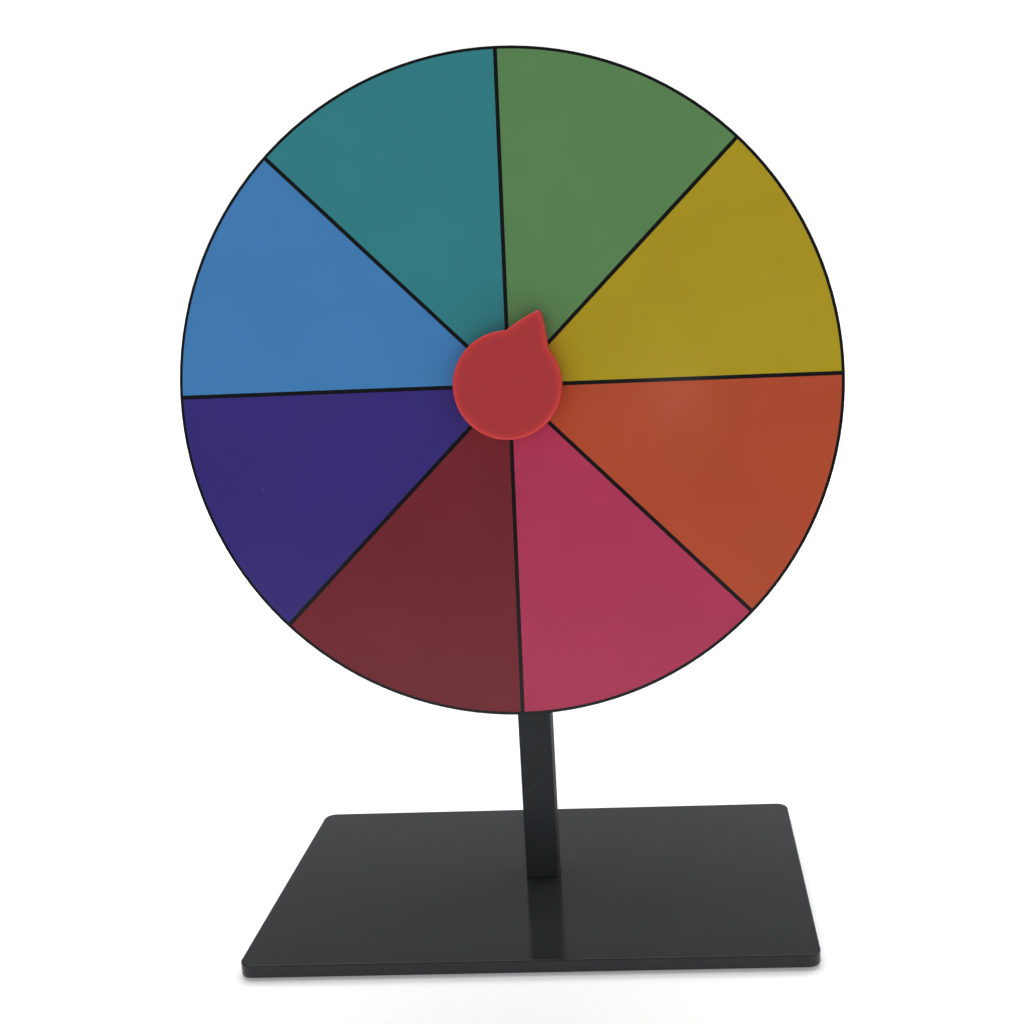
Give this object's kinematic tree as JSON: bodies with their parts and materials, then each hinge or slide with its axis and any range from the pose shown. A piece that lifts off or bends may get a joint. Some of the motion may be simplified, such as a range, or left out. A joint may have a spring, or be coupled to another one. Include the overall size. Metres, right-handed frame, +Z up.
{
  "type": "game spinner",
  "caption": "Tabletop game spinner: a round board of coloured sectors on a post and base plate, with a drop-shaped pointer that spins on a ball bearing.",
  "frame": {"origin": "middle of the footprint, on the surface that the foot pads stand on", "axes": "+Z up; the board and its pointer face -Y and lean back 6 degrees; +X to the right of somebody who looks at the board; the pointer's axis meets the board's face 258 mm up"},
  "size_m": [0.3, 0.16, 0.4071],
  "materials": {
    "powder_coat_black": "satin powder coat over steel",
    "pad_rubber": "matt rubber",
    "cap_plastic": "moulded polyethylene",
    "foot_steel": "bare machined steel",
    "screw_zinc": "zinc plated",
    "screw_black": "black oxide",
    "hub_anodised": "black anodised, turned",
    "board_black": "gloss acrylic",
    "film_green": "gloss vinyl film",
    "film_yellow": "gloss vinyl film",
    "film_orange": "gloss vinyl film",
    "film_pink": "gloss vinyl film",
    "film_maroon": "gloss vinyl film",
    "film_indigo": "gloss vinyl film",
    "film_blue": "gloss vinyl film",
    "film_teal": "gloss vinyl film",
    "bearing_steel": "ground and polished",
    "shield_steel": "pressed sheet",
    "cage_nylon": "moulded nylon",
    "spindle_steel": "turned steel",
    "pointer_red": "satin acrylic"
  },
  "bodies": {
    "stand": {"base_plate": "powder_coat_black", "post_tube": "powder_coat_black", "post_cap": "cap_plastic", "post_foot_block": "foot_steel", "base_screw": "screw_zinc", "hub_housing": "hub_anodised", "post_screw_lower": "screw_black", "post_screw_upper": "screw_black", "disc_board": "board_black", "bearing_outer_race": "bearing_steel", "bearing_shield_front": "shield_steel", "bearing_shield_back": "shield_steel", "foot_pad_1": "pad_rubber", "flange_screw_1": "screw_black", "foot_pad_2": "pad_rubber", "flange_screw_2": "screw_black", "foot_pad_3": "pad_rubber", "flange_screw_3": "screw_black", "foot_pad_4": "pad_rubber", "flange_screw_4": "screw_black", "sector_green": "film_green", "sector_yellow": "film_yellow", "sector_orange": "film_orange", "sector_pink": "film_pink", "sector_maroon": "film_maroon", "sector_indigo": "film_indigo", "sector_blue": "film_blue", "sector_teal": "film_teal"},
    "pointer_spindle": {"pointer": "pointer_red", "spindle": "spindle_steel", "spindle_washer": "screw_zinc", "spindle_screw": "screw_zinc", "bearing_inner_race": "bearing_steel"},
    "ball_cage": {"bearing_cage": "cage_nylon", "bearing_ball_1": "bearing_steel", "bearing_ball_2": "bearing_steel", "bearing_ball_3": "bearing_steel", "bearing_ball_4": "bearing_steel", "bearing_ball_5": "bearing_steel", "bearing_ball_6": "bearing_steel", "bearing_ball_7": "bearing_steel"}
  },
  "joints": [
    {"name": "pointer_spin", "type": "hinge", "parent": "stand", "child": "pointer_spindle", "pos_m": [0, -0.02155, 0.25711], "axis": [0, 0.9945, -0.1045], "continuous": true},
    {"name": "ball_cage_spin", "type": "hinge", "parent": "stand", "child": "ball_cage", "pos_m": [0, -0.02155, 0.25711], "axis": [0, 0.9945, -0.1045], "continuous": true}
  ],
  "couplings": [
    {"joint": "ball_cage_spin", "follows": "pointer_spin", "ratio": 0.36773}
  ]
}
